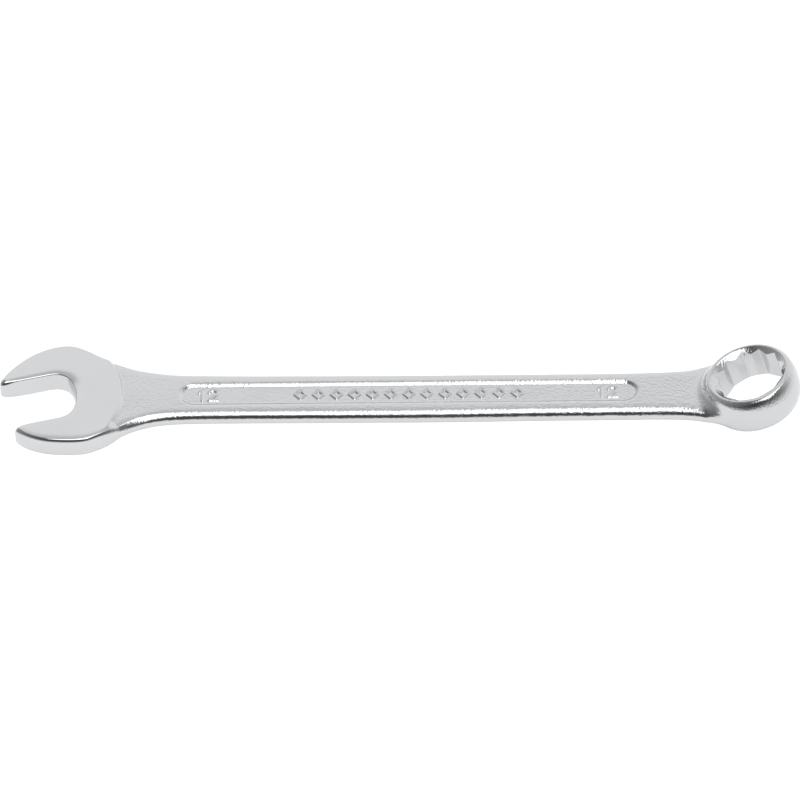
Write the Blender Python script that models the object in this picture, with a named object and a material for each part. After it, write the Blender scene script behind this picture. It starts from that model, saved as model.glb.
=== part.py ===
"""Combination wrench, size 12: open jaws at 15 degrees on one end, a raised twelve-point ring on the other.

The wrench is one drop forging. It is modelled here as the forging's zones, which meet face to face at planes
square to the shank, and as the raised marks that stand in the panel of the shank.

Lengths below are in millimetres, in the forging's own axes: +X runs from the open jaws to the ring, +Y runs
across the flat of the shank, +Z is the numbered face's normal, and zero is the middle of the panel, at mid
thickness. An empty moves all of it so that the origin is at the middle of the bottom of the wrench's box.
"""

import bmesh
import bpy
import numpy as np
from math import asin, cos, hypot, pi, radians, sin, tan
from mathutils import Matrix

MM = 0.001

# Driving dimensions, in millimetres
ACROSS_FLATS = 12.1          # of the jaws and of the twelve-point ring, a size 12 with its clearance
JAW_ANGLE = radians(15)      # of the jaws' centre line from the shank's
RING_TILT = radians(15)      # of the ring's plane from the shank's

HEAD_X = -67.1               # where the jaws' centre line crosses the shank's
HEAD_THICKNESS = 4.4
HEAD_CHAMFER = 0.4
JAW_REACH = 11.2             # from the head's centre to the tips, along the jaws' centre line
STEP_RADIUS = 18.3           # of the arc where the head steps down to the neck
STEP_X = -55.9               # of that arc on the shank's centre line

SHANK_THICKNESS = 3.2
SHANK_EDGE = 1.45            # radius along the shank's long edges
SHANK_END_X = 52.0           # the shank runs from minus this to this, and the two heads start there

PANEL_LENGTH = 89.4
PANEL_WIDTH = 5.8
PANEL_DEPTH = 0.4
PANEL_WALL = radians(35)     # of the panel's walls from upright

RING_X = 67.2
RING_Z = 2.05                # height of the ring's centre above mid thickness
RING_RADIUS = 8.95
RING_THICKNESS = 7.9
RING_EDGE = 0.9              # radius of the ring's outer rims
LEAD_IN_RADIUS = 7.9         # of the broach's lead-in cones where they meet the ring's faces
LEAD_IN_ANGLE = radians(45)
BROACH_TURN = radians(-2.5)  # of the broach's points from their places either side of the long axis

CLEARANCE = 2.0              # how far a Boolean's tool runs past the face that it cuts

MARK_HEIGHT = 0.3            # of the raised marks above the panel's floor
MARK_STROKE = 0.55
MARK_MARGIN = 0.02           # between the figures and the edge of their pad
MARK_PAD = 0.1               # thickness of the pad that joins the figures of one mark
NUMERAL_HEIGHT = 3.3
NUMERAL_LENGTH = 4.0         # of the two figures' pad
NUMERAL_X = 39.2             # of the middle of each size number, towards either end
ROW_LENGTH = 45.0            # of the row of lozenges in the middle of the panel
ROW_PAD_WIDTH = 1.0
LOZENGE_COUNT = 13
LOZENGE_SIZE = (2.4, 2.9)

# Outlines in millimetres: (x, y) of the head's far and near edges, (along, across) the jaws' centre line, from
# the head's centre, of the throat between the jaws, and (x, half width) of the shank with its flares
HEAD_FAR_EDGE = (
    (-79.9, 4.3), (-78.7, 6.5), (-76.6, 9.1), (-74.0, 11.3), (-71.0, 13.0), (-67.6, 13.75),
    (-64.2, 13.05), (-61.4, 11.35), (-59.7, 10.1), (-58.4, 9.3),
)
HEAD_NEAR_EDGE = (
    (-58.5, -9.55), (-60.4, -11.25), (-63.2, -12.6), (-66.8, -13.0),
    (-70.6, -12.65), (-74.0, -11.35), (-76.3, -9.6),
)
THROAT = (
    (-2.8, -6.05), (-1.2, -5.75), (0.1, -4.9), (1.2, -3.2), (1.85, -1.2),
    (2.1, 1.0), (1.95, 3.0), (1.2, 4.7), (-0.2, 5.75), (-1.9, 6.05),
)
NECK_AND_SHANK = (
    (-62.0, 9.1), (-60.0, 9.15), (-58.3, 8.95), (-56.0, 8.2), (-54.0, 7.65), (-52.0, 7.1), (-49.5, 6.6),
    (-46.5, 6.2), (-43.0, 5.98), (-37.0, 5.92), (-20.0, 5.88), (0.0, 5.78), (20.0, 5.7), (38.0, 5.7),
    (47.0, 5.78), (52.0, 5.93), (54.5, 6.12), (57.0, 6.5), (59.3, 6.95), (61.3, 7.1), (62.8, 6.7),
)
EDGE_STEPS = 5               # flats along each rounded edge
RING_STEPS = 48              # flats round the ring

COLOURS = {
    "satin_chrome": (0.78, 0.79, 0.80, 1.0),
    "polished_chrome": (0.83, 0.84, 0.85, 1.0),
}
ROUGHNESS = {"satin_chrome": 0.32, "polished_chrome": 0.16}


def clear_scene():
    for old in list(bpy.data.objects):
        bpy.data.objects.remove(old, do_unlink=True)


def chrome(name):
    """The plating, satin on the shank and polished on the heads."""
    material = bpy.data.materials.new(name)
    material.use_nodes = True
    shader = material.node_tree.nodes["Principled BSDF"]
    shader.inputs["Base Color"].default_value = COLOURS[name]
    shader.inputs["Metallic"].default_value = 1.0
    shader.inputs["Roughness"].default_value = ROUGHNESS[name]
    return material


def add_object(name, bm, material=None):
    """A mesh object from a bmesh that is in millimetres."""
    bmesh.ops.recalc_face_normals(bm, faces=bm.faces)
    bm.transform(Matrix.Scale(MM, 4))
    mesh = bpy.data.meshes.new(name)
    bm.to_mesh(mesh)
    bm.free()
    if material:
        mesh.materials.append(material)
    mesh.shade_smooth()
    mesh.set_sharp_from_angle(angle=radians(35))
    obj = bpy.data.objects.new(name, mesh)
    bpy.context.scene.collection.objects.link(obj)
    return obj


def as_tool(obj):
    """Marks an object as a Boolean's tool, which isn't part of the wrench."""
    obj.hide_render = True
    obj.display_type = "WIRE"
    return obj


def boolean(obj, tool, operation):
    modifier = obj.modifiers.new(tool.name, "BOOLEAN")
    modifier.operation = operation
    modifier.solver = "EXACT"
    modifier.object = as_tool(tool)


def smooth_curve(points, steps):
    """Points on the natural cubic spline through these points, with this many steps between neighbours."""
    p = np.array(points, float)
    t = np.concatenate([[0.0], np.cumsum(np.linalg.norm(np.diff(p, axis=0), axis=1) ** 0.5)])
    h = np.diff(t)
    count = len(p)
    system = np.eye(count)
    right = np.zeros_like(p)
    for i in range(1, count - 1):
        system[i, i - 1 : i + 2] = (h[i - 1], 2 * (h[i - 1] + h[i]), h[i])
        right[i] = 6 * ((p[i + 1] - p[i]) / h[i] - (p[i] - p[i - 1]) / h[i - 1])
    bend = np.linalg.solve(system, right)
    curve = []
    for i in range(count - 1):
        for s in np.linspace(0, h[i], steps, endpoint=False):
            a, b = h[i] - s, s
            start = p[i] / h[i] - bend[i] * h[i] / 6
            end = p[i + 1] / h[i] - bend[i + 1] * h[i] / 6
            curve.append((bend[i] * a**3 + bend[i + 1] * b**3) / (6 * h[i]) + start * a + end * b)
    curve.append(p[-1])
    return [tuple(q) for q in curve]


def arc(centre, radius, start, end, steps):
    """Points on an arc, both ends included, with its angles in radians."""
    return [
        (centre[0] + radius * cos(a), centre[1] + radius * sin(a)) for a in np.linspace(start, end, steps + 1)
    ]


def prism(outline, low, high):
    """A bmesh of a plan outline carried from one height to another."""
    bm = bmesh.new()
    face = bm.faces.new([bm.verts.new((x, y, low)) for x, y in outline])
    lifted = bmesh.ops.extrude_face_region(bm, geom=[face])["geom"]
    top = [item for item in lifted if isinstance(item, bmesh.types.BMVert)]
    bmesh.ops.translate(bm, verts=top, vec=(0, 0, high - low))
    return bm


def loft(sections):
    """A bmesh through closed sections that have equally many points, capped at both ends."""
    bm = bmesh.new()
    rings = [[bm.verts.new(point) for point in section] for section in sections]
    for near, far in zip(rings, rings[1:]):
        for i in range(len(near)):
            j = (i + 1) % len(near)
            bm.faces.new((near[i], near[j], far[j], far[i]))
    bm.faces.new(rings[0][::-1])
    bm.faces.new(rings[-1])
    return bm


def bar_section(x, half_width):
    """The shank's cross-section at x: flat faces, with a quarter round along each long edge."""
    section = []
    for y_sign, z_sign, start in ((1, 1, 0), (-1, 1, pi / 2), (-1, -1, pi), (1, -1, 3 * pi / 2)):
        centre = (y_sign * (half_width - SHANK_EDGE), z_sign * (SHANK_THICKNESS / 2 - SHANK_EDGE))
        section += [(x, y, z) for y, z in arc(centre, SHANK_EDGE, start, start + pi / 2, EDGE_STEPS)]
    return section


def bar(first_x, last_x):
    """The neck, shank or flare between two planes, as wide at each station as the outline says."""
    nearest = 0.2
    xs, widths = zip(*smooth_curve(NECK_AND_SHANK, 3))
    stations = [first_x] + [x for x in xs if first_x + nearest < x < last_x - nearest] + [last_x]
    return loft([bar_section(x, np.interp(x, xs, widths)) for x in stations])


def from_jaws(along, across):
    """A plan point given along and across the jaws' centre line, measured from the head's centre."""
    x = HEAD_X + along * cos(JAW_ANGLE) - across * sin(JAW_ANGLE)
    y = along * sin(JAW_ANGLE) + across * cos(JAW_ANGLE)
    return x, y


def head_outline():
    """The head's plan: its far edge, the step's arc, its near edge, and the slot between the jaws."""
    far = smooth_curve(HEAD_FAR_EDGE, 4)
    near = smooth_curve(HEAD_NEAR_EDGE, 4)
    corner = asin(HEAD_FAR_EDGE[-1][1] / STEP_RADIUS)
    back = arc((STEP_X - STEP_RADIUS, 0), STEP_RADIUS, corner, -corner, 14)
    face = ACROSS_FLATS / 2
    throat = [from_jaws(*point) for point in smooth_curve(THROAT, 2)]
    return far + back[1:] + near + [from_jaws(-JAW_REACH, -face)] + throat + [from_jaws(-JAW_REACH, face)]


def open_end_head(material):
    """The head: its plan at full thickness, chamfered round both faces, joined to the thinner neck."""
    half = HEAD_THICKNESS / 2
    bm = prism(head_outline(), -half, half)
    rims = [edge for edge in bm.edges if edge.verts[0].co.z == edge.verts[1].co.z]
    bmesh.ops.bevel(bm, geom=rims, offset=HEAD_CHAMFER, segments=2, profile=0.5, affect="EDGES")
    head = add_object("open_end_head", bm, material)
    neck = add_object("neck_tool", bar(NECK_AND_SHANK[0][0], -SHANK_END_X))
    boolean(head, neck, "UNION")
    return head


def panel_tool(name, side):
    """A stadium-shaped tool whose walls lean outwards, which presses the panel into one face of the shank."""
    lean = tan(PANEL_WALL)
    bm = bmesh.new()
    loops = []
    for depth in (-CLEARANCE / 4, PANEL_DEPTH):
        radius = PANEL_WIDTH / 2 - depth * lean
        reach = PANEL_LENGTH / 2 - PANEL_WIDTH / 2
        right_end = arc((reach, 0), radius, -pi / 2, pi / 2, 10)
        left_end = arc((-reach, 0), radius, pi / 2, 3 * pi / 2, 10)
        outline = right_end + left_end
        z = side * (SHANK_THICKNESS / 2 - depth)
        loops.append([bm.verts.new((x, y, z)) for x, y in outline])
    outer, inner = loops
    for i in range(len(outer)):
        j = (i + 1) % len(outer)
        bm.faces.new((outer[i], outer[j], inner[j], inner[i]))
    bm.faces.new(outer)
    bm.faces.new(inner)
    return add_object(name, bm)


def shank(material):
    body = add_object("shank", bar(-SHANK_END_X, SHANK_END_X), material)
    boolean(body, panel_tool("top_panel_tool", 1), "DIFFERENCE")
    boolean(body, panel_tool("bottom_panel_tool", -1), "DIFFERENCE")
    return body


def solid_of_revolution(outline, steps):
    """A bmesh of an open (radius, height) outline turned about Z, with a flat disc at each end."""
    bm = bmesh.new()
    rings = []
    for radius, height in outline:
        angles = [2 * pi * step / steps for step in range(steps)]
        rings.append([bm.verts.new((radius * cos(a), radius * sin(a), height)) for a in angles])
    for low, high in zip(rings, rings[1:]):
        for i in range(steps):
            j = (i + 1) % steps
            bm.faces.new((low[i], low[j], high[j], high[i]))
    bm.faces.new(rings[0][::-1])
    bm.faces.new(rings[-1])
    return bm


def ring_matrix():
    """From the ring's own axes to the forging's: its far side is raised by the tilt."""
    return Matrix.Translation((RING_X, 0, RING_Z)) @ Matrix.Rotation(-RING_TILT, 4, "Y")


def broach_outline():
    """The twelve-point broach: two hexagons across flats, the second turned by 30 degrees."""
    point_radius = ACROSS_FLATS / 2 / cos(radians(30))
    root_radius = ACROSS_FLATS / 2 / cos(radians(15))
    outline = []
    for step in range(24):
        radius = (root_radius, point_radius)[step % 2]
        a = radians(15 * step) + BROACH_TURN
        outline.append((radius * cos(a), radius * sin(a)))
    return outline


def ring_head(material):
    """The ring: a rounded collar joined to the flare, then broached, with a lead-in cone at each face."""
    half = RING_THICKNESS / 2
    core = RING_RADIUS - RING_EDGE
    low_round = arc((core, RING_EDGE - half), RING_EDGE, -pi / 2, 0, 4)
    top_round = arc((core, half - RING_EDGE), RING_EDGE, 0, pi / 2, 4)
    collar = solid_of_revolution(low_round + top_round, RING_STEPS)
    collar.transform(ring_matrix())
    ring = add_object("ring_head", collar, material)
    boolean(ring, add_object("flare_tool", bar(SHANK_END_X, NECK_AND_SHANK[-1][0])), "UNION")
    broach = prism(broach_outline(), -half - CLEARANCE, half + CLEARANCE)
    broach.transform(ring_matrix())
    boolean(ring, add_object("broach_tool", broach), "DIFFERENCE")
    spread = CLEARANCE * tan(LEAD_IN_ANGLE)
    cone_outline = [(LEAD_IN_RADIUS - spread, half - CLEARANCE), (LEAD_IN_RADIUS + spread, half + CLEARANCE)]
    for name, turn in (("top_lead_in_tool", 0), ("bottom_lead_in_tool", pi)):
        cone = solid_of_revolution(cone_outline, RING_STEPS)
        cone.transform(ring_matrix() @ Matrix.Rotation(turn, 4, "X"))
        boolean(ring, add_object(name, cone), "DIFFERENCE")
    return ring


def stroke_outline(points, width):
    """The outline of a pen stroke of this width along a run of points."""
    left, right = [], []
    for i, (x, y) in enumerate(points):
        before, after = points[max(i - 1, 0)], points[min(i + 1, len(points) - 1)]
        dx, dy = after[0] - before[0], after[1] - before[1]
        length = hypot(dx, dy)
        nx, ny = -dy / length * width / 2, dx / length * width / 2
        left.append((x + nx, y + ny))
        right.append((x - nx, y - ny))
    return left + right[::-1]


def raised(name, pad_size, figures, middle_x, material):
    """Figures on a thin pad on the panel's floor, all one body."""
    floor = SHANK_THICKNESS / 2 - PANEL_DEPTH
    x, y = pad_size[0] / 2, pad_size[1] / 2
    pad = prism([(-x, -y), (x, -y), (x, y), (-x, y)], floor, floor + MARK_PAD)
    pad.transform(Matrix.Translation((middle_x, 0, 0)))
    mark = add_object(name, pad, material)
    for count, outline in enumerate(figures):
        figure = prism(outline, floor + MARK_PAD / 2, floor + MARK_HEIGHT)
        figure.transform(Matrix.Translation((middle_x, 0, 0)))
        boolean(mark, add_object(f"{name}_tool_{count}", figure), "UNION")
    return mark


def size_mark(name, middle_x, material):
    """The size number: a plain stroke for the one, and a hook with a foot for the two."""
    top = NUMERAL_HEIGHT / 2 - MARK_MARGIN
    bowl = (0.65, top - 0.92)
    foot_y = MARK_STROKE / 2 - top
    one = stroke_outline([(-1.35, -top), (-1.35, top)], MARK_STROKE)
    hook = arc(bowl, 0.64, radians(155), radians(-30), 8) + [(-0.05, foot_y)]
    foot = [(-0.3, foot_y), (1.6, foot_y)]
    figures = [one, stroke_outline(hook, MARK_STROKE), stroke_outline(foot, MARK_STROKE)]
    return raised(name, (NUMERAL_LENGTH, NUMERAL_HEIGHT), figures, middle_x, material)


def grade_mark_row(material):
    """A plain row of raised lozenges in the middle of the panel."""
    long, wide = LOZENGE_SIZE[0] / 2, LOZENGE_SIZE[1] / 2
    pitch = (ROW_LENGTH - LOZENGE_SIZE[0] - 2 * MARK_MARGIN) / (LOZENGE_COUNT - 1)
    lozenges = []
    for step in range(LOZENGE_COUNT):
        x = (step - (LOZENGE_COUNT - 1) / 2) * pitch
        lozenges.append([(x - long, 0), (x, -wide), (x + long, 0), (x, wide)])
    return raised("grade_mark_row", (ROW_LENGTH, ROW_PAD_WIDTH), lozenges, 0, material)


def stand_on_origin(parts):
    """Parents the parts to an empty that puts the middle of the bottom of their box at the origin."""
    bpy.context.view_layer.update()
    graph = bpy.context.evaluated_depsgraph_get()
    corners = []
    for part in parts:
        evaluated = part.evaluated_get(graph)
        mesh = evaluated.to_mesh()
        corners += [tuple(v.co) for v in mesh.vertices]
        evaluated.to_mesh_clear()
    corners = np.array(corners)
    low, high = corners.min(axis=0), corners.max(axis=0)
    wrench = bpy.data.objects.new("combination_wrench", None)
    wrench.location = (-(low[0] + high[0]) / 2, -(low[1] + high[1]) / 2, -low[2])
    bpy.context.scene.collection.objects.link(wrench)
    for obj in bpy.data.objects:
        if obj is not wrench:
            obj.parent = wrench
    print("The forging's axes stand at", [round(value / MM, 4) for value in wrench.location], "mm")


def main():
    clear_scene()
    satin, polished = chrome("satin_chrome"), chrome("polished_chrome")
    parts = [
        open_end_head(polished),
        shank(satin),
        ring_head(polished),
        size_mark("size_mark_open_end", -NUMERAL_X, satin),
        size_mark("size_mark_ring_end", NUMERAL_X, satin),
        grade_mark_row(satin),
    ]
    stand_on_origin(parts)


main()
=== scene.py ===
"""Combination wrench, size 12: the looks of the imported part.

The wrench is one forging, so its skin is described once, as a field of signed distances in the
forging's own axes (millimetres; +X from the open jaws to the ring, +Z the numbered face's normal, zero at
the middle of the shank). Each piece is a mesh of that skin, cut square to the shank where the CAD's nodes
meet.
"""

import bmesh
import bpy
import numpy as np
from math import cos, pi, radians, sin
from mathutils import Matrix, Vector


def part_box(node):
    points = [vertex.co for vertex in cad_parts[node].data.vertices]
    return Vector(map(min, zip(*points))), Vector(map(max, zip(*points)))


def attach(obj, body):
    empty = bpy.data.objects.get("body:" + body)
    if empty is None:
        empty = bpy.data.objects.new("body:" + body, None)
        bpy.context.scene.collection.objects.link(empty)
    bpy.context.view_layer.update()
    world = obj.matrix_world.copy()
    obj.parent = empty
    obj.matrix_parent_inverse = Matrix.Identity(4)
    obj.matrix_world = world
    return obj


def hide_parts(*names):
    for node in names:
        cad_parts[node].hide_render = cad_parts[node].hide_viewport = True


MM = 0.001

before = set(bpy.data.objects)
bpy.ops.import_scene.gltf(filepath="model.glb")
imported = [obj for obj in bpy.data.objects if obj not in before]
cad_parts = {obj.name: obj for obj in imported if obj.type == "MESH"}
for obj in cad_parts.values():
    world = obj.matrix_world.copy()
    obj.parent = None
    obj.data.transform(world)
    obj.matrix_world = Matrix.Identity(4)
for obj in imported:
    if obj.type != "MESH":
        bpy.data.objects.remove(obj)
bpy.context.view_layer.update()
shank_low, shank_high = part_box("shank")
ORIGIN = (shank_low + shank_high) / 2    # of the forging's own axes, in the frame's metres

# ------------------------------------------------------------------------------------ dimensions, mm
ACROSS_FLATS = 12.1
JAW_ANGLE = radians(15)
RING_TILT = radians(15.5)    # of the ring's bore; its forged outside lies a little flatter
COLLAR_TILT = radians(14.5)
SPLIT_X = 52.0               # the pieces meet at plus and minus this

HEAD_X = -67.1               # where the jaws' centre line crosses the shank's
HEAD_HALF = 2.2              # half the head's thickness
SHANK_HALF = 1.6             # half the shank's
BULGE = (0.29, 0.17)         # how far the barrelled sides of head and shank stand out beyond the outlines

STEP_CENTRE_X = -74.45       # the step from head to neck is an arc round this point
STEP_RADIUS = 18.8
STEP_WIDTH = 0.7
STEP_RUN_OUT = 3.0           # how much further it runs out along the near edge,
STEP_RUN_OUT_Y = (7.5, 3.0)  # from this far off the middle line, and over this width
EDGE_CHANGE = (4.5, 5.5)     # the edges change from this far outside the step, over this length

HEAD_EDGE = (0.69, 1.8)      # rounding of the head's outer edge: inwards along the face, and down the side
SLOT_EDGE = (0.2, 0.25)      # of the edges along the slot
SLOT_EDGE_FADE = 0.5         # where the slot meets the outer edge, over twice this
SHANK_EDGE = (1.53, 1.43)
TIP_EDGE = 1.1               # of the edges round the jaws' tips, which are polished rounder
TIP_REACH = 2.0
TIPS = ((-80.0, 3.4), (-76.9, -9.0))
TIP_RADIUS = 1.2             # of the jaws' tips, seen from above

ROLL_SLOPE = radians(5.5)    # the faces roll off to this slope before their edges,
HEAD_ROLL = (2.0, 1.8)       # from this far inside the edge, over this width, along the head's outer edge,
SLOT_ROLL = (1.3, 1.1)       # along the slot,
SHANK_ROLL = (2.5, 1.25)     # along the shank,
THROAT_ROLL = (2.8, 1.6)     # and more at this side of the throat
THROAT_ROLL_AT = (-65.4, 2.8)
THROAT_ROLL_REACH = 3.0

PANEL_HALF_LENGTH = 44.8
PANEL_HALF_WIDTH = 2.81
PANEL_Y = 0.11               # of its middle line
PANEL_DEPTH = 0.4
PANEL_WALL = (0.75, 0.72)    # how far its soft wall reaches outside and inside that outline,
PANEL_END_WALL = (0.45, 0.6)  # and the steeper wall at its ends
PANEL_END = (0.6, 2.2)       # the walls change from this far before the round ends, over this length
PANEL_SKEW = (1.5, 0.3)      # bends the wall's rise, and by how much more or less on the two sides

RING_X, RING_Z = 67.4, 2.08
RING_RADIUS = 9.3
RING_HALF = 3.98
RING_OFFSET = (-0.3, -0.2)   # of the forged outside from the bore
RING_PARTING = -0.4          # height of its widest line
RING_EDGE_WIDE = (1.4, 2.0)  # rounding of its upper and lower outer edges: inwards along the face,
RING_EDGE_DEEP = (4.0, 3.4)  # and down the wall
RING_ROUNDER = 0.5           # the upper edge is polished rounder by this much, round this direction
RING_ROUNDER_AT = radians(-120)  # and less to each side of it, down to nothing 53 degrees away
FILLET = (1.1, 2.1)          # between the ring and the neck, below and above
LEAD_IN_RADIUS = (7.5, 7.75)  # of the lead-in cones at the ring's upper and lower faces
LEAD_IN_ANGLE = radians(37.5)  # their slope from the face
LEAD_IN_LIP = 0.12           # rounding of the crest between cone and face
BORE_START = 5.6             # radius of the plain hole that the broach widens
BROACH_TURN = radians(-2.5)
BROACH_CORNER = 0.18

WAVE_HEIGHT = 0.010          # the unevenness that hand polishing leaves on all of it
WAVE_LENGTH = 9.0
FLAT_ANGLE = radians(24)     # a face further than this off the skin's normal is a cut

MARK_HEIGHT = 0.15
MARK_SINK = 0.12             # how deep the marks stand in the panel's floor
MARK_REACH = 0.44            # of a stroke's soft side from its middle line
NUMERAL_X = 39.0
LOZENGE_COUNT = 13
LOZENGE_ROW = 45.0
LOZENGE_SIZE = (2.6, 2.9)

# Outlines: (x, y) of the forging's far and near edges and of the jaws' ends, and (along, across) the jaws'
# centre line of the throat
FAR_EDGE = (
    (-79.75, 4.4), (-78.5, 6.45), (-76.3, 9.1), (-74.0, 11.15), (-71.3, 12.75), (-68.6, 13.62), (-66.4, 13.7),
    (-64.2, 12.92), (-61.6, 11.32), (-59.8, 10.15), (-58.2, 9.5), (-56.3, 8.82), (-53.5, 7.86), (-50.3, 7.08),
    (-46.8, 6.45), (-39.0, 6.02), (-23.0, 5.76), (0.0, 5.6), (24.0, 5.56), (40.0, 5.58), (47.3, 5.72),
    (52.0, 5.95), (55.0, 6.32), (57.0, 6.93), (59.3, 7.8), (61.3, 8.35), (62.8, 8.4),
)
NEAR_EDGE = (
    (62.8, -6.8), (61.3, -7.2), (59.3, -7.05), (57.0, -6.55), (55.0, -6.17), (52.0, -5.94), (47.0, -5.84),
    (40.0, -5.87), (24.0, -5.91), (8.0, -6.04), (-7.5, -6.0), (-23.0, -5.9), (-39.0, -5.83), (-46.5, -6.06),
    (-50.0, -6.61), (-53.1, -7.7), (-55.8, -9.05), (-58.2, -10.62), (-60.4, -11.78), (-62.6, -12.75),
    (-65.0, -13.07), (-67.4, -13.05), (-70.6, -12.69), (-74.0, -11.48), (-76.2, -9.87),
)
MOUTH = ((-76.9, -8.5), (-77.58, -6.2), (-78.68, -2.0), (-79.58, 1.5), (-79.98, 3.2))
THROAT = (
    (-2.8, -6.05), (-1.2, -5.75), (0.1, -4.9), (1.2, -3.2), (1.85, -1.2),
    (2.1, 1.0), (1.95, 3.0), (1.2, 4.7), (-0.2, 5.75), (-1.9, 6.05),
)

# The studio's brightness by direction. WALLS goes round from the front by way of the left, the back and the
# right to the front again; HEIGHT multiplies it, from the horizon to overhead. TABLE goes from straight down
# to the horizon, and takes over from the walls between the two HORIZON elevations, in degrees. The softbox
# is overhead: its edges are lines over the plane one unit up, each with its soft width, and it fades out
# between the two heights of SOFTBOX_END, low over the horizon.
WALLS = (0.05, 0.09, 0.22, 0.34, 0.44, 0.80, 1.24, 1.19, 0.94, 0.46, 0.18, 0.13, 0.05)
HEIGHT = (
    (0.0, 1.04), (0.3, 1.1), (0.55, 1.12), (0.67, 1.05), (0.705, 1.03), (0.735, 0.87), (0.765, 0.68),
    (0.81, 0.62), (0.88, 0.66), (1.0, 0.75),
)
TABLE = ((0.0, 1.16), (0.2, 1.13), (0.32, 1.04), (0.5, 1.0), (1.0, 1.0))
HORIZON = (14.0, -18.0)
SOFTBOX = 2.6
SOFTBOX_END = (0.1, 0.3)
SOFTBOX_SIDES = (            # (x, y, offset, softness): bright where x * right + y * back + offset > 0
    (1.0, -0.5, 0.13, 0.14),
    (-1.0, -0.3, 0.50, 0.24),
    (0.0, -1.0, 0.56, 0.22),
    (0.45, 1.0, 1.02, 0.50),
)
LAMP_ENERGY = 2.4            # W


# ------------------------------------------------------------------------------------------ plan outlines
def smooth_curve(points, step):
    """Points about one step apart on the natural cubic spline through these points."""
    p = np.array(points, float)
    t = np.concatenate([[0.0], np.cumsum(np.linalg.norm(np.diff(p, axis=0), axis=1) ** 0.5)])
    h = np.diff(t)
    count = len(p)
    system = np.eye(count)
    right = np.zeros_like(p)
    for i in range(1, count - 1):
        system[i, i - 1 : i + 2] = (h[i - 1], 2 * (h[i - 1] + h[i]), h[i])
        right[i] = 6 * ((p[i + 1] - p[i]) / h[i] - (p[i] - p[i - 1]) / h[i - 1])
    bend = np.linalg.solve(system, right)
    curve = []
    for i in range(count - 1):
        steps = max(2, int(np.linalg.norm(p[i + 1] - p[i]) / step))
        s = np.linspace(0, h[i], steps, endpoint=False)[:, None]
        a, b = h[i] - s, s
        start = p[i] / h[i] - bend[i] * h[i] / 6
        end = p[i + 1] / h[i] - bend[i + 1] * h[i] / 6
        curve.append((bend[i] * a**3 + bend[i + 1] * b**3) / (6 * h[i]) + start * a + end * b)
    curve.append(p[-1:])
    return np.concatenate(curve)


def body_outline():
    """The whole forging's plan with no slot and no ring, as one closed run of points."""
    return np.concatenate([smooth_curve(FAR_EDGE, 0.2), smooth_curve(NEAR_EDGE + MOUTH, 0.2)])


def slot_outline():
    """The slot between the jaws: its throat, and two straight sides that run out past the tips."""
    past_tips = -20.0
    points = [(past_tips, -ACROSS_FLATS / 2)]
    points += [tuple(q) for q in smooth_curve(THROAT, 0.15)]
    points += [(past_tips, ACROSS_FLATS / 2)]
    c, s = cos(JAW_ANGLE), sin(JAW_ANGLE)
    return np.array([(HEAD_X + a * c - b * s, a * s + b * c) for a, b in points])


def polygon_distance(outline, xs, ys):
    """Signed distance on a grid to a closed outline, negative inside."""
    a, b = outline, np.roll(outline, -1, axis=0)
    keep = np.linalg.norm(b - a, axis=1) > 1e-9
    a, b = a[keep], b[keep]
    d = b - a
    squared = (d**2).sum(1)
    far = 4.0            # only distances up to about this matter
    slab = 40            # grid lines at a time
    result = np.empty((len(xs), len(ys)))
    for start in range(0, len(xs), slab):
        x = xs[start : start + slab]
        near = (np.maximum(a[:, 0], b[:, 0]) > x[0] - far) & (np.minimum(a[:, 0], b[:, 0]) < x[-1] + far)
        p = np.stack(np.meshgrid(x, ys, indexing="ij"), -1)[:, :, None, :]
        if not near.any():
            result[start : start + slab] = far
            continue
        px, py, dx, dy = p[..., 0] - a[near, 0], p[..., 1] - a[near, 1], d[near, 0], d[near, 1]
        t = np.clip((px * dx + py * dy) / squared[near], 0, 1)
        result[start : start + slab] = np.sqrt(((px - t * dx) ** 2 + (py - t * dy) ** 2).min(-1))
    for i, x in enumerate(xs):
        over = (a[:, 0] <= x) != (b[:, 0] <= x)
        cross = np.sort(a[over, 1] + (x - a[over, 0]) / d[over, 0] * d[over, 1])
        inside = np.searchsorted(cross, ys) % 2 == 1
        result[i, inside] *= -1
    return result


def step_up(t):
    """0 below 0, 1 above 1, and a smooth rise between them."""
    t = np.clip(t, 0, 1)
    return t * t * (3 - 2 * t)


def near_to(x, y, place, reach):
    """1 at this place in plan, fading out with distance over this reach."""
    return np.exp(-((x - place[0]) ** 2 + (y - place[1]) ** 2) / reach**2)


def round_max(a, b, r):
    """The intersection of two distances, with a rounded edge."""
    u, v = np.maximum(a + r, 0), np.maximum(b + r, 0)
    return np.minimum(np.maximum(a, b), -r) + np.hypot(u, v)


def round_edge(a, b, wide, deep):
    """The intersection of two distances, with the edge between them rounded as an ellipse."""
    u, v = np.maximum(a + wide, 0) / wide, np.maximum(b + deep, 0) / deep
    q = np.sqrt(u * u + v * v)
    corner = (q - 1) * q / np.maximum(np.sqrt((u / wide) ** 2 + (v / deep) ** 2), 1e-9)
    return np.where((a > -wide) & (b > -deep), corner, np.maximum(a, b))


def round_min(a, b, r):
    """The union of two distances, with a fillet."""
    u, v = np.maximum(r - a, 0), np.maximum(r - b, 0)
    return np.maximum(np.minimum(a, b), r) - np.hypot(u, v)


def roll_off(inside, start, width):
    """How far a face has dropped at this distance inside its edge: first a bend, and then an even slope."""
    t = np.clip((start - inside) / width, 0, None)
    return ROLL_SLOPE * width * np.where(t < 1, t * t / 2, t - 0.5)


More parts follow.
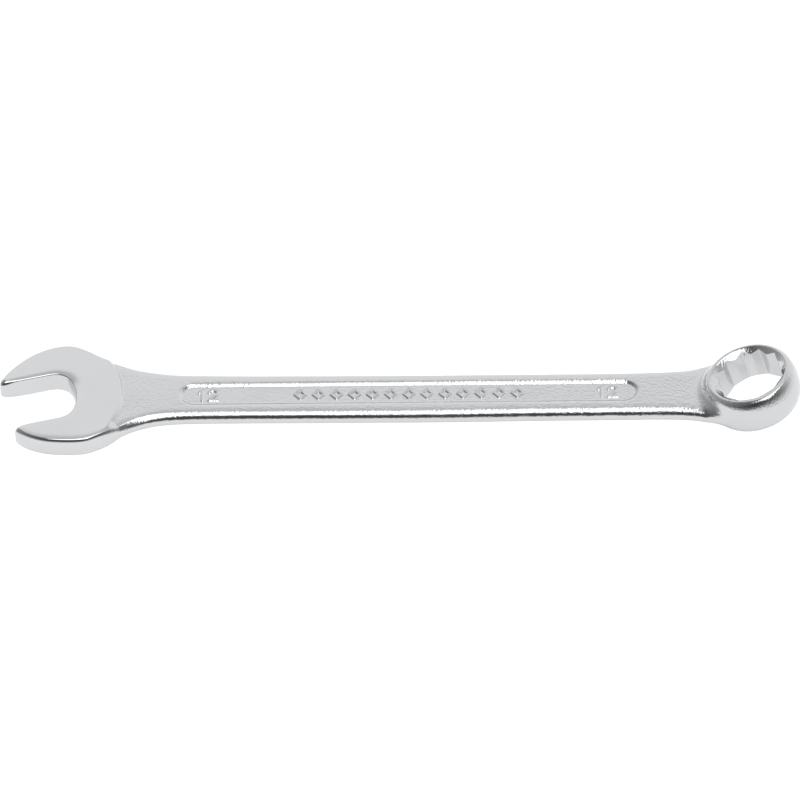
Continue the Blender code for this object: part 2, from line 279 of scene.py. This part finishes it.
class Plan:
    """The outline, the half thickness and the edges' two radii as maps over the plan.

    They are read at any point by a cubic B-spline, so that they have no creases.
    """

    STEP = 0.14

    def __init__(self):
        self.x0, self.y0 = -84.0, -16.0
        xs = np.arange(self.x0, 68.0, self.STEP)
        ys = np.arange(self.y0, 16.6, self.STEP)
        x, y = np.meshgrid(xs, ys, indexing="ij")
        inside_step = STEP_RADIUS - np.hypot(x - STEP_CENTRE_X, y)
        head_share = step_up((inside_step + EDGE_CHANGE[0]) / EDGE_CHANGE[1])
        body = polygon_distance(body_outline(), xs, ys) - BULGE[1] - (BULGE[0] - BULGE[1]) * head_share
        slot = np.full_like(body, -99.0)
        head = xs < -55    # the slot doesn't reach further
        slot[head] = -polygon_distance(slot_outline(), xs[head], ys)
        outline = round_max(body, slot, TIP_RADIUS)
        half = self.half_thickness(x, y, inside_step, body, slot)
        edges = self.edge_radii(x, y, head_share, slot - body)
        self.maps = np.stack([outline, half, *edges], -1)

    @staticmethod
    def half_thickness(x, y, inside_step, body, slot):
        run_out = STEP_RUN_OUT * step_up((-y - STEP_RUN_OUT_Y[0]) / STEP_RUN_OUT_Y[1])
        on_head = step_up((inside_step + run_out) / (STEP_WIDTH + run_out))
        rolled = (roll_off(-body, *HEAD_ROLL) + roll_off(-slot, *SLOT_ROLL)) * on_head
        rolled += roll_off(-body, *SHANK_ROLL) * (1 - on_head)
        rolled += roll_off(-slot, *THROAT_ROLL) * near_to(x, y, THROAT_ROLL_AT, THROAT_ROLL_REACH)
        return SHANK_HALF + (HEAD_HALF - SHANK_HALF) * on_head - rolled

    @staticmethod
    def edge_radii(x, y, head_share, nearer_slot):
        at_slot = step_up((nearer_slot + SLOT_EDGE_FADE) / (2 * SLOT_EDGE_FADE))
        at_tip = sum(near_to(x, y, tip, TIP_REACH) for tip in TIPS)
        edges = []
        for shank, head, slot in zip(SHANK_EDGE, HEAD_EDGE, SLOT_EDGE):
            outer = shank + (head - shank) * head_share
            edge = outer + (slot - outer) * at_slot
            edges.append(edge + (TIP_EDGE - edge) * at_tip)
        return edges

    def read(self, x, y):
        u, v = (x - self.x0) / self.STEP, (y - self.y0) / self.STEP
        i, j = np.floor(u).astype(int), np.floor(v).astype(int)
        rows, columns = self.maps.shape[:2]
        i, j = np.clip(i, 1, rows - 3), np.clip(j, 1, columns - 3)
        wu, wv = spline_weights(u - i), spline_weights(v - j)
        total = 0.0
        for a in range(4):
            line = sum(wv[b][..., None] * self.maps[i + a - 1, j + b - 1] for b in range(4))
            total = total + wu[a][..., None] * line
        return total


def spline_weights(t):
    """What the four grid lines round a point count for, when it lies this far across the middle cell."""
    t = np.clip(t, 0, 1)
    near = (3 * t**3 - 6 * t**2 + 4) / 6
    next_on = (-3 * t**3 + 3 * t**2 + 3 * t + 1) / 6
    return (1 - t) ** 3 / 6, near, next_on, t**3 / 6


PLAN = Plan()


# ----------------------------------------------------------------------------------------------- the skin
def waves(x, y, z):
    """A smooth unevenness between about -1 and 1, as hand polishing leaves it."""
    random = np.random.default_rng(3)
    total = 0.0
    for _ in range(9):
        direction = random.normal(size=3)
        direction *= 2 * pi / WAVE_LENGTH / np.linalg.norm(direction) * random.uniform(0.6, 1.5)
        phase = random.uniform(0, 2 * pi)
        total = total + np.sin(direction[0] * x + direction[1] * y + direction[2] * z + phase)
    return total / 4


def panel_depth(x, y):
    """How deep the panel lies below the shank's face."""
    reach = PANEL_HALF_LENGTH - PANEL_HALF_WIDTH
    y = y - PANEL_Y
    d = np.hypot(np.maximum(np.abs(x) - reach, 0), y) - PANEL_HALF_WIDTH
    at_end = step_up((np.abs(x) - reach + PANEL_END[0]) / PANEL_END[1])
    outside, inside = (a + (b - a) * at_end for a, b in zip(PANEL_WALL, PANEL_END_WALL))
    skew = PANEL_SKEW[0] + PANEL_SKEW[1] * np.clip(y / 2, -1, 1)
    return PANEL_DEPTH * step_up(np.clip((outside - d) / (outside + inside), 0, 1) ** skew)


def plate(plan, x, y, z):
    """The head, neck and shank: the plan at its thickness, with its edges rounded as ellipses."""
    outline, half, wide, deep = (plan[..., k] for k in range(4))
    half = half - panel_depth(x, y)
    return round_edge(outline, np.abs(z) - half, wide, deep)


def tilted(x, z, tilt):
    """Distances from the ring's middle along its plane and along its axis."""
    dx, dz = x - RING_X, z - RING_Z
    return dx * cos(tilt) + dz * sin(tilt), dz * cos(tilt) - dx * sin(tilt)


def collar(x, y, z):
    """The ring's forged outside, with rounded rims."""
    along, height = tilted(x, z, COLLAR_TILT)
    along, across = along - RING_OFFSET[0], y - RING_OFFSET[1]
    upper = height > RING_PARTING
    half = np.where(upper, RING_HALF - RING_PARTING, RING_HALF + RING_PARTING)
    turn = np.arctan2(across, along) - RING_ROUNDER_AT
    rounder = RING_ROUNDER * step_up((np.cos(turn) - 0.6) / 0.4)
    wide = np.where(upper, *RING_EDGE_WIDE) + rounder * upper
    deep = np.where(upper, *RING_EDGE_DEEP)
    outer = np.hypot(along, across) - RING_RADIUS
    return round_edge(outer, np.abs(height - RING_PARTING) - half, wide, deep)


def lead_in(x, y, z):
    """The lead-in cones at both faces of the ring, and the distance from the bore's axis."""
    along, height = tilted(x, z, RING_TILT)
    radius = np.hypot(along, y)
    cone_radius = np.where(height > 0, *LEAD_IN_RADIUS)
    height = np.abs(height)
    cone = (height - RING_HALF) * cos(LEAD_IN_ANGLE) - (radius - cone_radius) * sin(LEAD_IN_ANGLE)
    return cone, radius


def plate_with_ring(plan, x, y, z):
    """The neck and the ring before broaching, with a fillet that grows from the underside to the top."""
    fillet = FILLET[0] + (FILLET[1] - FILLET[0]) * step_up((z + 1) / 2)
    solid = round_min(collar(x, y, z), plate(plan, x, y, z), fillet)
    cone, radius = lead_in(x, y, z)
    solid = round_max(solid, cone, LEAD_IN_LIP)
    return np.maximum(solid, BORE_START - radius)


# --------------------------------------------------------------------------------------------------- mesh
def gradient(field, p, h=0.01):
    """The field at these points, and its slope."""
    slope = np.empty_like(p)
    for axis in range(3):
        low, high = p.copy(), p.copy()
        low[:, axis] -= h
        high[:, axis] += h
        slope[:, axis] = (field(high) - field(low)) / (2 * h)
    return field(p), slope


def surface_net(values, grid):
    """One point for each cell that the surface crosses, and one quad for each grid edge that it crosses."""
    inside = values < 0
    sizes = np.array(values.shape) - 1
    cells, points, quads = [], [], []
    for axis in range(3):
        low = [slice(None)] * 3
        high = [slice(None)] * 3
        low[axis], high[axis] = slice(0, -1), slice(1, None)
        low, high = tuple(low), tuple(high)
        ijk = np.array(np.nonzero(inside[low] != inside[high])).T
        after = ijk.copy()
        after[:, axis] += 1
        f0, f1 = values[tuple(ijk.T)], values[tuple(after.T)]
        p = np.stack([grid[k][ijk[:, k]] for k in range(3)], -1)
        t = f0 / (f0 - f1)
        p[:, axis] += t * (grid[axis][after[:, axis]] - p[:, axis])
        second, third = (axis + 1) % 3, (axis + 2) % 3
        corners = []
        for back2, back3 in ((1, 1), (0, 1), (0, 0), (1, 0)):
            cell = ijk.copy()
            cell[:, second] -= back2
            cell[:, third] -= back3
            corners.append(np.ravel_multi_index(np.clip(cell, 0, sizes - 1).T, sizes))
            cells.append(corners[-1])
            points.append(p)
        quad = np.stack(corners, -1)
        quads.append(np.where((f0 < 0)[:, None], quad, quad[:, ::-1]))
    cells, points = np.concatenate(cells), np.concatenate(points)
    used, index = np.unique(cells, return_inverse=True)
    count = np.bincount(index)
    middle = np.stack([np.bincount(index, weights=points[:, k]) / count for k in range(3)], -1)
    return middle, np.searchsorted(used, np.concatenate(quads))


def onto_surface(field, p, h, longest):
    """The points, moved along the slope to where the field is zero, in three moves no longer than this."""
    for _ in range(3):
        value, slope = gradient(field, p, h)
        move = value[:, None] * slope / np.maximum((slope**2).sum(1), 0.2)[:, None]
        p = p - np.clip(move, -longest, longest)
    return p


def stations(start, end, gap):
    """Grid lines from start to end, where gap(x) is the gap wanted at x."""
    lines = [start]
    while lines[-1] < end:
        lines.append(lines[-1] + gap(lines[-1]))
    return np.array(lines)


def even(gap):
    """The same gap all the way."""
    return lambda x: gap


def skin_mesh(shape, grid):
    """Points, quads and the field that they lie on, for the stretch of the wrench inside this grid."""

    def skin(plan, x, y, z):
        return shape(plan, x, y, z) + WAVE_HEIGHT * waves(x, y, z)

    def field(p):
        return skin(PLAN.read(p[:, 0], p[:, 1]), p[:, 0], p[:, 1], p[:, 2])

    gx, gy = np.meshgrid(grid[0], grid[1], indexing="ij")
    plan = PLAN.read(gx, gy)[:, :, None, :]
    x, y, z = gx[:, :, None], gy[:, :, None], grid[2][None, None, :]
    values = np.empty([len(lines) for lines in grid])
    slab = 60            # grid lines at a time
    for start in range(0, len(grid[0]), slab):
        part = slice(start, start + slab)
        values[part] = skin(plan[part], *np.broadcast_arrays(x[part], y[part], z))
    p, quads = surface_net(values, grid)
    return onto_surface(field, p, 0.01, 0.08), quads, field


def piece_object(name, p, quads):
    mesh = bpy.data.meshes.new(name)
    mesh.from_pydata((p * MM + np.array(ORIGIN)).tolist(), [], quads.tolist())
    mesh.validate()
    obj = bpy.data.objects.new(name, mesh)
    bpy.context.scene.collection.objects.link(obj)
    return obj


def cut_at(obj, x, keep):
    """Cuts the piece at a plane square to the shank, keeps the side with this sign, and closes the cut."""
    bm = bmesh.new()
    bm.from_mesh(obj.data)
    at = ORIGIN + Vector((x * MM, 0, 0))
    geometry = bm.verts[:] + bm.edges[:] + bm.faces[:]
    result = bmesh.ops.bisect_plane(
        bm, geom=geometry, plane_co=at, plane_no=(keep, 0, 0), clear_inner=True, dist=1e-9
    )
    rim = [item for item in result["geom_cut"] if isinstance(item, bmesh.types.BMEdge)]
    bmesh.ops.edgenet_fill(bm, edges=rim)
    bm.to_mesh(obj.data)
    bm.free()


def read_all(collection, name, width, kind=float):
    """One attribute of all the items of a mesh, a row for each."""
    values = np.empty(len(collection) * width, kind)
    collection.foreach_get(name, values)
    return values.reshape(-1, width) if width > 1 else values


def shade(obj, field):
    """Smooth normals from the field, and each face's own normal where it isn't part of the skin."""
    mesh = obj.data
    p = (read_all(mesh.vertices, "co", 3) - np.array(ORIGIN)) / MM
    _, slope = gradient(field, p)
    smooth = slope / np.linalg.norm(slope, axis=1)[:, None]
    totals = read_all(mesh.polygons, "loop_total", 1, int)
    flat = np.repeat(read_all(mesh.polygons, "normal", 3), totals, axis=0)
    normals = smooth[read_all(mesh.loops, "vertex_index", 1, int)]
    other = (normals * flat).sum(1) < cos(FLAT_ANGLE)
    normals[other] = flat[other]
    mesh.shade_smooth()
    mesh.normals_split_custom_set(normals.tolist())


def finish_piece(obj, node, material):
    obj.data.materials.clear()
    obj.data.materials.append(material)
    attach(obj, "root")
    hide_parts(node)


def finish_beyond(obj, x, radius, material):
    """Gives the neck the shank's finish outside this circle in plan."""
    mesh = obj.data
    mesh.materials.append(material)
    p = (read_all(mesh.polygons, "center", 3) - np.array(ORIGIN)) / MM
    outside = np.hypot(p[:, 0] - x, p[:, 1]) > radius
    mesh.polygons.foreach_set("material_index", outside.astype(np.int32))


# ------------------------------------------------------------------------------------------------- pieces
def make_head(polished, satin):
    grid = [
        stations(-82.0, -SPLIT_X + 0.8, even(0.16)),
        stations(-15.0, 15.0, even(0.15)),
        stations(-2.6, 2.6, even(0.13)),
    ]
    p, quads, field = skin_mesh(plate, grid)
    obj = piece_object("open_end_head_forging", p, quads)
    cut_at(obj, -SPLIT_X, -1)
    shade(obj, field)
    finish_piece(obj, "open_end_head", polished)
    finish_beyond(obj, STEP_CENTRE_X, STEP_RADIUS, satin)


def finer_at_panel_ends(x):
    return 0.18 if 40 < abs(x) < 46 else 0.34


def make_shank(satin):
    grid = [
        stations(-SPLIT_X - 0.9, SPLIT_X + 0.9, finer_at_panel_ends),
        stations(-8.4, 8.4, even(0.125)),
        stations(-1.9, 1.9, even(0.12)),
    ]
    p, quads, field = skin_mesh(plate, grid)
    obj = piece_object("shank_forging", p, quads)
    cut_at(obj, -SPLIT_X, 1)
    cut_at(obj, SPLIT_X, -1)
    shade(obj, field)
    finish_piece(obj, "shank", satin)


def make_ring(polished, satin):
    grid = [
        stations(SPLIT_X - 0.8, 77.6, even(0.15)),
        stations(-9.6, 9.6, even(0.15)),
        stations(-4.4, 8.6, even(0.14)),
    ]
    p, quads, field = skin_mesh(plate_with_ring, grid)
    obj = piece_object("ring_head_forging", p, quads)
    cut_at(obj, SPLIT_X, 1)
    apply_boolean(obj, broach_prism())
    shade(obj, field)
    finish_piece(obj, "ring_head", polished)
    finish_beyond(obj, RING_X, 12.0, satin)


def broach_prism():
    """The twelve-point broach as a tall prism, its corners slightly rounded."""
    point = ACROSS_FLATS / 2 / cos(radians(30))
    root = ACROSS_FLATS / 2 / cos(radians(15))
    corners = []
    for count in range(24):
        r, a = (root, point)[count % 2], radians(15 * count) + BROACH_TURN
        corners.append(Vector((r * cos(a), r * sin(a))))
    outline = []
    for count, corner in enumerate(corners):
        before = (corners[count - 1] - corner).normalized()
        after = (corners[(count + 1) % 24] - corner).normalized()
        start, end = corner + before * BROACH_CORNER, corner + after * BROACH_CORNER
        outline += [start, (start + end) / 4 + corner / 2, end]
    bm = bmesh.new()
    reach = RING_HALF + 3
    face = bm.faces.new([bm.verts.new((q.x, q.y, -reach)) for q in outline])
    lifted = bmesh.ops.extrude_face_region(bm, geom=[face])["geom"]
    top = [item for item in lifted if isinstance(item, bmesh.types.BMVert)]
    bmesh.ops.translate(bm, verts=top, vec=(0, 0, 2 * reach))
    bmesh.ops.recalc_face_normals(bm, faces=bm.faces)
    tilt = Matrix.Translation((RING_X, 0, RING_Z)) @ Matrix.Rotation(-RING_TILT, 4, "Y")
    bm.transform(Matrix.Translation(ORIGIN) @ Matrix.Scale(MM, 4) @ tilt)
    mesh = bpy.data.meshes.new("broach")
    bm.to_mesh(mesh)
    bm.free()
    tool = bpy.data.objects.new("broach", mesh)
    bpy.context.scene.collection.objects.link(tool)
    return tool


def apply_boolean(obj, tool):
    modifier = obj.modifiers.new("broach", "BOOLEAN")
    modifier.operation = "DIFFERENCE"
    modifier.solver = "EXACT"
    modifier.object = tool
    bpy.context.view_layer.update()
    evaluated = obj.evaluated_get(bpy.context.evaluated_depsgraph_get())
    mesh = bpy.data.meshes.new_from_object(evaluated)
    obj.modifiers.clear()
    obj.data = mesh
    bpy.data.objects.remove(tool)


# ------------------------------------------------------------------------------------------- raised marks
def stroke_distance(x, y, line):
    """Distance in plan to a run of points."""
    best = np.full(np.broadcast(x, y).shape, 99.0)
    for (ax, ay), (bx, by) in zip(line, line[1:]):
        dx, dy = bx - ax, by - ay
        t = np.clip(((x - ax) * dx + (y - ay) * dy) / (dx * dx + dy * dy), 0, 1)
        best = np.minimum(best, np.hypot(x - ax - t * dx, y - ay - t * dy))
    return best


def numeral_lines():
    """A one and a two, as plain strokes, centred on their middle."""
    top, bowl_radius = 1.37, 0.82
    one = [(-1.35, -top), (-1.35, top)]
    flag = [(-1.35, top), (-1.95, top - 0.6)]
    turns = np.linspace(radians(165), radians(-38), 14)
    bowl = [(0.78 + bowl_radius * cos(a), top - bowl_radius + bowl_radius * sin(a)) for a in turns]
    two = bowl + [(-0.08, -top), (1.72, -top)]
    return [one, flag, two]


def lozenge_lines():
    """One open lozenge, as a plain stroke."""
    a, b = (size / 2 - MARK_REACH * 0.6 for size in LOZENGE_SIZE)
    return [[(-a, 0), (0, b), (a, 0), (0, -b), (-a, 0)]]


def mark_mesh(lines, half_x, half_y, gap=0.07):
    """Raised strokes with round tops and soft sides, standing in the panel's floor."""
    floor = SHANK_HALF - PANEL_DEPTH

    def field(p):
        x, y, z = p[..., 0], p[..., 1], p[..., 2]
        d = np.min([stroke_distance(x, y, line) for line in lines], axis=0)
        top = (z - floor - MARK_HEIGHT * step_up(1 - d / MARK_REACH)) * 0.8
        return np.maximum(np.maximum(top, d - MARK_REACH + 0.02), floor - MARK_SINK - z)

    grid = [
        np.arange(-half_x, half_x, gap),
        np.arange(-half_y, half_y, gap),
        np.arange(floor - MARK_SINK - 0.1, floor + MARK_HEIGHT + 0.1, 0.045),
    ]
    x, y, z = np.meshgrid(*grid, indexing="ij")
    p, quads = surface_net(field(np.stack([x, y, z], -1)), grid)
    return onto_surface(field, p, 0.004, 0.04), quads


def make_numerals(material):
    for end, x in (("open_end", -NUMERAL_X), ("ring_end", NUMERAL_X)):
        p, quads = mark_mesh(numeral_lines(), 2.7, 2.1)
        obj = piece_object("size_number_" + end, p + np.array((x, 0, 0)), quads)
        obj.data.shade_smooth()
        finish_piece(obj, "size_mark_" + end, material)


def make_lozenges(material):
    p, quads = mark_mesh(lozenge_lines(), 1.8, 1.9)
    pitch = (LOZENGE_ROW - LOZENGE_SIZE[0]) / (LOZENGE_COUNT - 1)
    all_p, all_quads = [], []
    for count in range(LOZENGE_COUNT):
        x = (count - (LOZENGE_COUNT - 1) / 2) * pitch
        all_quads.append(quads + count * len(p))
        all_p.append(p + np.array((x, 0, 0)))
    row = piece_object("lozenge_row", np.concatenate(all_p), np.concatenate(all_quads))
    row.data.shade_smooth()
    finish_piece(row, "grade_mark_row", material)


# ---------------------------------------------------------------------------------------------- materials
def new_material(name):
    material = bpy.data.materials.new(name)
    material.use_nodes = True
    tree = material.node_tree
    return material, tree, tree.nodes["Principled BSDF"]


def noise(tree, scale, detail, vector):
    node = tree.nodes.new("ShaderNodeTexNoise")
    node.inputs["Scale"].default_value = scale
    node.inputs["Detail"].default_value = detail
    tree.links.new(vector, node.inputs["Vector"])
    return node.outputs["Fac"]


def remap(tree, value, from_low, from_high, to_low, to_high):
    """The value taken smoothly from one range to another, and held at its ends."""
    node = tree.nodes.new("ShaderNodeMapRange")
    node.interpolation_type = "SMOOTHSTEP"
    tree.links.new(value, node.inputs["Value"])
    numbers = {"From Min": from_low, "From Max": from_high, "To Min": to_low, "To Max": to_high}
    for name, number in numbers.items():
        node.inputs[name].default_value = number
    return node.outputs["Result"]


def fill_sockets(tree, sockets, values):
    """Sets each socket to its number, or links it to its output."""
    for socket, value in zip(sockets, values):
        if isinstance(value, (int, float)):
            socket.default_value = value
        else:
            tree.links.new(value, socket)


def arithmetic(tree, operation, *values):
    node = tree.nodes.new("ShaderNodeMath")
    node.operation = operation
    fill_sockets(tree, node.inputs, values)
    return node.outputs[0]


def chrome(name, peel, peel_size, fine, roughness, smoother=1.0, grey=0.64):
    """Chromium plating over a forging: its orange peel and a finer grain, as heights in millimetres.

    The peel's lumps are peel_size across, and shorter along the wrench; the grain's are 0.3 mm. Both heights
    are less by the factor smoother towards the open jaws. The roughness varies in patches 8 mm across.
    """
    material, tree, shader = new_material(name)
    place = tree.nodes.new("ShaderNodeTexCoord").outputs["Object"]
    squeeze = tree.nodes.new("ShaderNodeVectorMath")
    squeeze.operation = "MULTIPLY"
    squeeze.inputs[1].default_value = (1.6, 1.0, 1.0)
    tree.links.new(place, squeeze.inputs[0])
    split = tree.nodes.new("ShaderNodeSeparateXYZ")
    tree.links.new(place, split.inputs[0])
    share = remap(tree, split.outputs[0], -0.02, 0.05, smoother, 1.0)
    shader.inputs["Metallic"].default_value = 1.0
    shader.inputs["Base Color"].default_value = (grey, grey + 0.01, grey + 0.02, 1)
    patches = noise(tree, 130.0, 3.0, place)
    tree.links.new(remap(tree, patches, 0.3, 0.7, *roughness), shader.inputs["Roughness"])
    lumps = arithmetic(tree, "MULTIPLY", noise(tree, 1 / (peel_size * MM), 1.0, squeeze.outputs[0]), peel)
    height = arithmetic(tree, "MULTIPLY_ADD", noise(tree, 3800.0, 2.0, place), fine, lumps)
    height = arithmetic(tree, "MULTIPLY", height, share)
    bump = tree.nodes.new("ShaderNodeBump")
    bump.inputs["Strength"].default_value = 1.0
    bump.inputs["Distance"].default_value = MM
    tree.links.new(height, bump.inputs["Height"])
    tree.links.new(bump.outputs["Normal"], shader.inputs["Normal"])
    return material


# ------------------------------------------------------------------------------------------------- studio
def make_floor(name, radius, height, base, emission):
    """A round sheet this many metres in radius and millimetres high, grey by base, and glowing a little."""
    bm = bmesh.new()
    bmesh.ops.create_circle(bm, cap_ends=True, cap_tris=False, segments=64, radius=radius)
    mesh = bpy.data.meshes.new(name)
    bm.to_mesh(mesh)
    bm.free()
    floor = bpy.data.objects.new(name, mesh)
    bpy.context.scene.collection.objects.link(floor)
    floor.location.z = height * MM
    material, _, shader = new_material(name)
    shader.inputs["Base Color"].default_value = (base, base, base, 1)
    shader.inputs["Roughness"].default_value = 0.9
    shader.inputs["Specular IOR Level"].default_value = 0.0
    shader.inputs["Emission Color"].default_value = (1, 1, 1, 1)
    shader.inputs["Emission Strength"].default_value = emission
    mesh.materials.append(material)
    return floor


def make_floors():
    """The pale floor that the camera sees, and the sheet of paper that the chrome reflects."""
    make_floor("studio_floor", 30.0, -0.02, 0.2, 0.9).visible_glossy = False
    paper = make_floor("studio_paper", 0.11, -0.01, 0.45, 0.47)
    paper.visible_camera = False
    paper.visible_shadow = False


def make_lamp():
    """A soft lamp overhead, which lights the paper but isn't seen in the chrome."""
    lamp = bpy.data.lights.new("studio_lamp", "AREA")
    lamp.energy = LAMP_ENERGY
    lamp.size = 0.25
    obj = bpy.data.objects.new("studio_lamp", lamp)
    bpy.context.scene.collection.objects.link(obj)
    place = Vector((-0.06, -0.1, 0.6))
    obj.matrix_world = Matrix.Translation(place) @ place.to_track_quat("Z", "Y").to_matrix().to_4x4()
    obj.visible_glossy = False


def ramp(tree, value, stops):
    """A smooth grey curve through (place, brightness) stops."""
    node = tree.nodes.new("ShaderNodeValToRGB")
    node.color_ramp.interpolation = "B_SPLINE"
    elements = node.color_ramp.elements
    while len(elements) < len(stops):
        elements.new(0.5)
    for element, (place, grey) in zip(elements, stops):
        element.position = place
        element.color = (grey, grey, grey, 1)
    tree.links.new(value, node.inputs["Fac"])
    return node.outputs["Color"]


def blend(tree, share, a, b):
    node = tree.nodes.new("ShaderNodeMix")
    node.data_type = "FLOAT"
    fill_sockets(tree, (node.inputs[0], node.inputs[2], node.inputs[3]), (share, a, b))
    return node.outputs[0]


def softbox_share(tree, x, y, z):
    """1 in the directions where the softbox is, and 0 elsewhere."""
    high = arithmetic(tree, "MAXIMUM", z, 0.02)
    across, along = arithmetic(tree, "DIVIDE", x, high), arithmetic(tree, "DIVIDE", y, high)
    share = remap(tree, z, *SOFTBOX_END, 0.0, 1.0)
    for toward_x, toward_y, offset, softness in SOFTBOX_SIDES:
        side = arithmetic(tree, "MULTIPLY_ADD", across, toward_x, offset)
        side = arithmetic(tree, "MULTIPLY_ADD", along, toward_y, side)
        share = arithmetic(tree, "MULTIPLY", remap(tree, side, 0.0, softness, 0.0, 1.0), share)
    return share


def make_world():
    """Soft light, told by direction: a softbox overhead, a pale back, a dark front and a pale table."""
    world = bpy.data.worlds.new("studio")
    bpy.context.scene.world = world
    world.use_nodes = True
    tree = world.node_tree
    tree.nodes.clear()
    direction = tree.nodes.new("ShaderNodeTexCoord").outputs["Generated"]
    split = tree.nodes.new("ShaderNodeSeparateXYZ")
    tree.links.new(direction, split.inputs[0])
    x, y, z = split.outputs
    turn = arithmetic(tree, "ARCTAN2", x, y)
    turn = arithmetic(tree, "MULTIPLY_ADD", turn, 1 / (2 * pi), 0.5)
    walls = ramp(tree, turn, [(k / (len(WALLS) - 1), grey) for k, grey in enumerate(WALLS)])
    light = arithmetic(tree, "MULTIPLY", walls, ramp(tree, z, HEIGHT))
    below = remap(tree, z, *(sin(radians(angle)) for angle in HORIZON), 0.0, 1.0)
    light = blend(tree, below, light, ramp(tree, arithmetic(tree, "ADD", z, 1.0), TABLE))
    light = blend(tree, softbox_share(tree, x, y, z), light, SOFTBOX)
    seen = tree.nodes.new("ShaderNodeLightPath").outputs["Is Camera Ray"]
    light = blend(tree, seen, light, 1.0)
    shader = tree.nodes.new("ShaderNodeBackground")
    tree.links.new(light, shader.inputs["Color"])
    output = tree.nodes.new("ShaderNodeOutputWorld")
    tree.links.new(shader.outputs[0], output.inputs["Surface"])


def make_camera():
    """The camera looks down at 44 degrees from a metre and a half, with a long lens and a slight roll."""
    elevation, azimuth, roll = radians(43.92), radians(1.51), radians(1.593)
    distance = 1500.0
    back = Vector((sin(azimuth) * cos(elevation), -cos(azimuth) * cos(elevation), sin(elevation)))
    right = Vector((cos(azimuth), sin(azimuth), 0))
    up = back.cross(right)
    aim = ORIGIN / MM + Vector((0, 0, -0.4)) + right * -1.75
    rolled_right = right * cos(roll) - up * sin(roll)
    rolled_up = right * sin(roll) + up * cos(roll)
    camera = bpy.data.objects.new("camera", bpy.data.cameras.new("camera"))
    bpy.context.scene.collection.objects.link(camera)
    turn = Matrix((rolled_right, rolled_up, back)).transposed().to_4x4()
    camera.matrix_world = Matrix.Translation((aim + back * distance) * MM) @ turn
    camera.data.sensor_width = 36.0
    camera.data.lens = 345.34
    camera.data.clip_start = 0.05
    camera.data.clip_end = 100.0
    bpy.context.scene.camera = camera


# --------------------------------------------------------------------------------------------------- main
head_chrome = chrome("polished_chrome", 0.008, 1.5, 0.001, (0.07, 0.12), grey=0.655)
ring_chrome = chrome("ring_chrome", 0.05, 0.5, 0.01, (0.1, 0.15))
satin_chrome = chrome("satin_chrome", 0.085, 0.62, 0.03, (0.12, 0.18), smoother=0.5, grey=0.65)

make_head(head_chrome, satin_chrome)
make_shank(satin_chrome)
make_ring(ring_chrome, satin_chrome)
make_numerals(satin_chrome)
make_lozenges(satin_chrome)
make_floors()
make_lamp()
make_world()
make_camera()
bpy.context.scene.view_settings.view_transform = "Standard"
